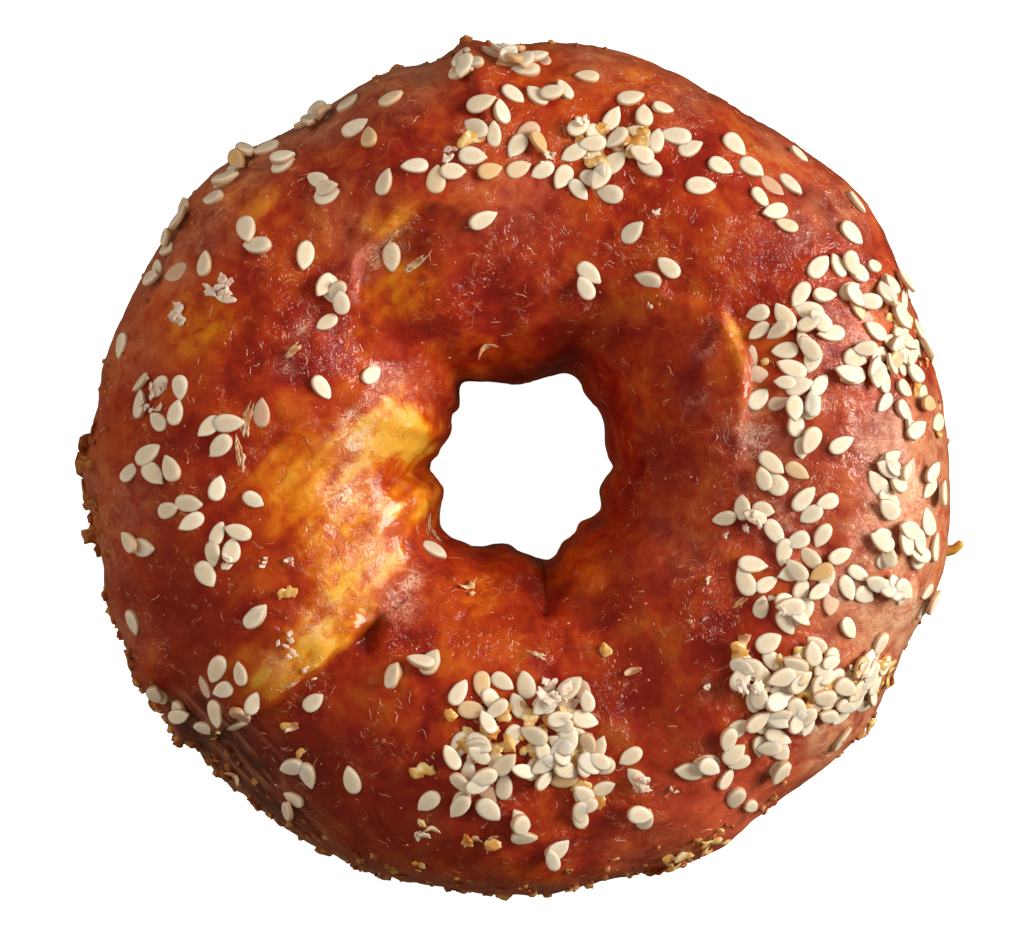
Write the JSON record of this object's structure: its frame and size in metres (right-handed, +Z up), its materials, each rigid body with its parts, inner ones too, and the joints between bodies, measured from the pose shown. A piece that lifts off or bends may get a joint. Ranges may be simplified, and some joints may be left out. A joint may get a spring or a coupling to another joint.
{
  "type": "sesame bagel",
  "caption": "Whole ring-shaped bagel with a shiny red-brown glazed crust, lapped folds of dough, scattered sesame seeds and an open round hole.",
  "frame": {"origin": "centre of the box of the whole bagel, at the flat underside that it rests on", "axes": "+Z up through the hole; +Y towards the picture's top edge and +X towards its right edge, which is seen from straight above"},
  "size_m": [0.1047, 0.1024, 0.0357],
  "materials": {
    "crust": "baked bread crust under a shiny translucent glaze, red-brown with amber and maroon patches",
    "seeds": "hulled sesame seeds, ivory with some toasted golden",
    "crumbs": "toasted crumbs and broken seed skins, tan to pale pink"
  },
  "bodies": {
    "root": {"bagel": "crust"}
  },
  "joints": []
}
